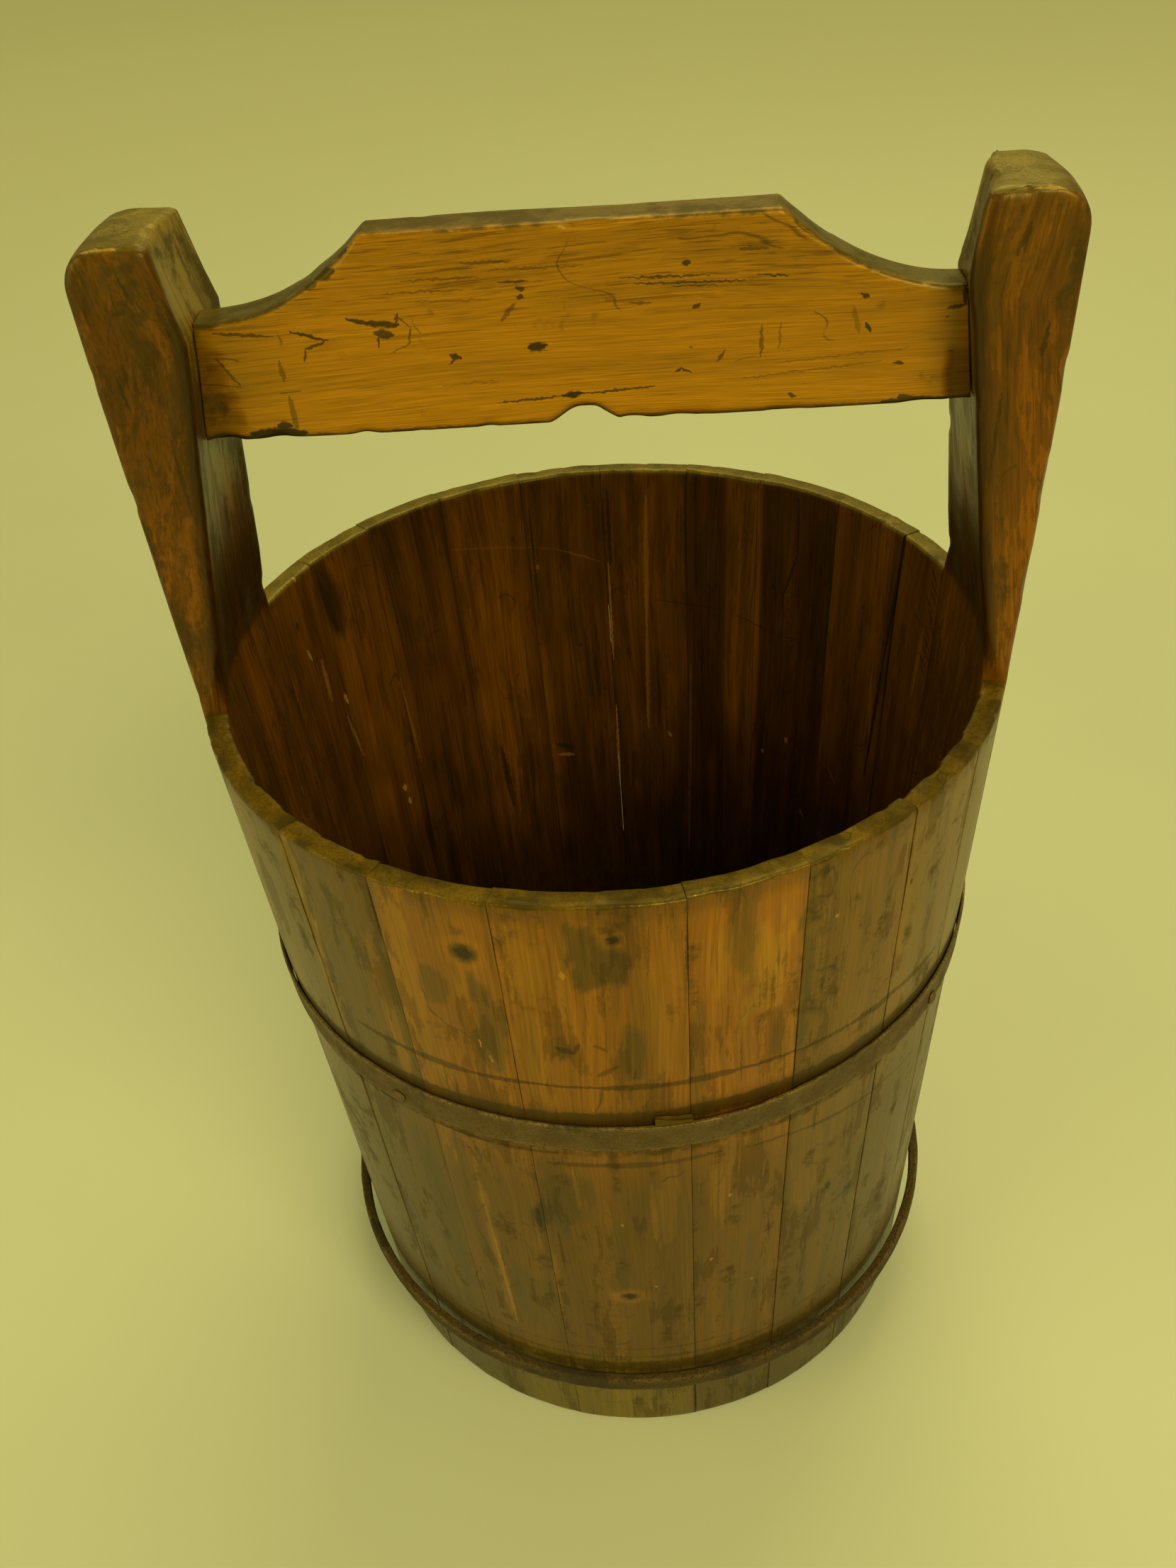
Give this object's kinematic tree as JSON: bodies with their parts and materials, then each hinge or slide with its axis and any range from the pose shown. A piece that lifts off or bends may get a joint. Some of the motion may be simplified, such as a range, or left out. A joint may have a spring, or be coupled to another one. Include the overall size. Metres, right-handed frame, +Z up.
{
  "type": "wooden stave bucket",
  "caption": "Old coopered wooden bucket with two tall ears, a fixed shaped cross bar for a handle, a flat iron hoop and a heavier rusty iron ring near the foot.",
  "frame": {"origin": "on the ground, under the middle of the bucket", "axes": "+Z up, +X along the cross bar towards the right ear, +Y to the back"},
  "size_m": [0.3602, 0.34, 0.567],
  "materials": {
    "ear_wood": "dark oiled wood, grimy and worn",
    "bar_wood": "amber oiled wood, polished by hands",
    "stave_wood": "aged honey brown wood, dark and dirty inside",
    "board_wood": "dark stained wood",
    "bamboo": "plain bamboo",
    "shim_wood": "bare pale wood",
    "hoop_iron": "flat forged iron, brown patina with rust",
    "nail_iron": "dull dark iron",
    "ring_rust": "heavily rusted and scaled iron"
  },
  "bodies": {
    "root": {"left_ear": "ear_wood", "right_ear": "ear_wood", "handle_bar": "bar_wood", "front_stave_1": "stave_wood", "front_stave_2": "stave_wood", "front_stave_3": "stave_wood", "front_stave_4": "stave_wood", "front_stave_5": "stave_wood", "front_stave_6": "stave_wood", "front_stave_7": "stave_wood", "front_stave_8": "stave_wood", "front_stave_9": "stave_wood", "back_stave_1": "stave_wood", "back_stave_2": "stave_wood", "back_stave_3": "stave_wood", "back_stave_4": "stave_wood", "back_stave_5": "stave_wood", "back_stave_6": "stave_wood", "back_stave_7": "stave_wood", "back_stave_8": "stave_wood", "back_stave_9": "stave_wood", "back_stave_10": "stave_wood", "stave_pins": "bamboo", "bottom_board_1": "board_wood", "bottom_board_2": "board_wood", "bottom_board_3": "board_wood", "board_pins": "bamboo", "flat_hoop": "hoop_iron", "hoop_rivets": "hoop_iron", "hoop_nails": "nail_iron", "hoop_shim": "shim_wood", "heavy_ring": "ring_rust"}
  },
  "joints": []
}
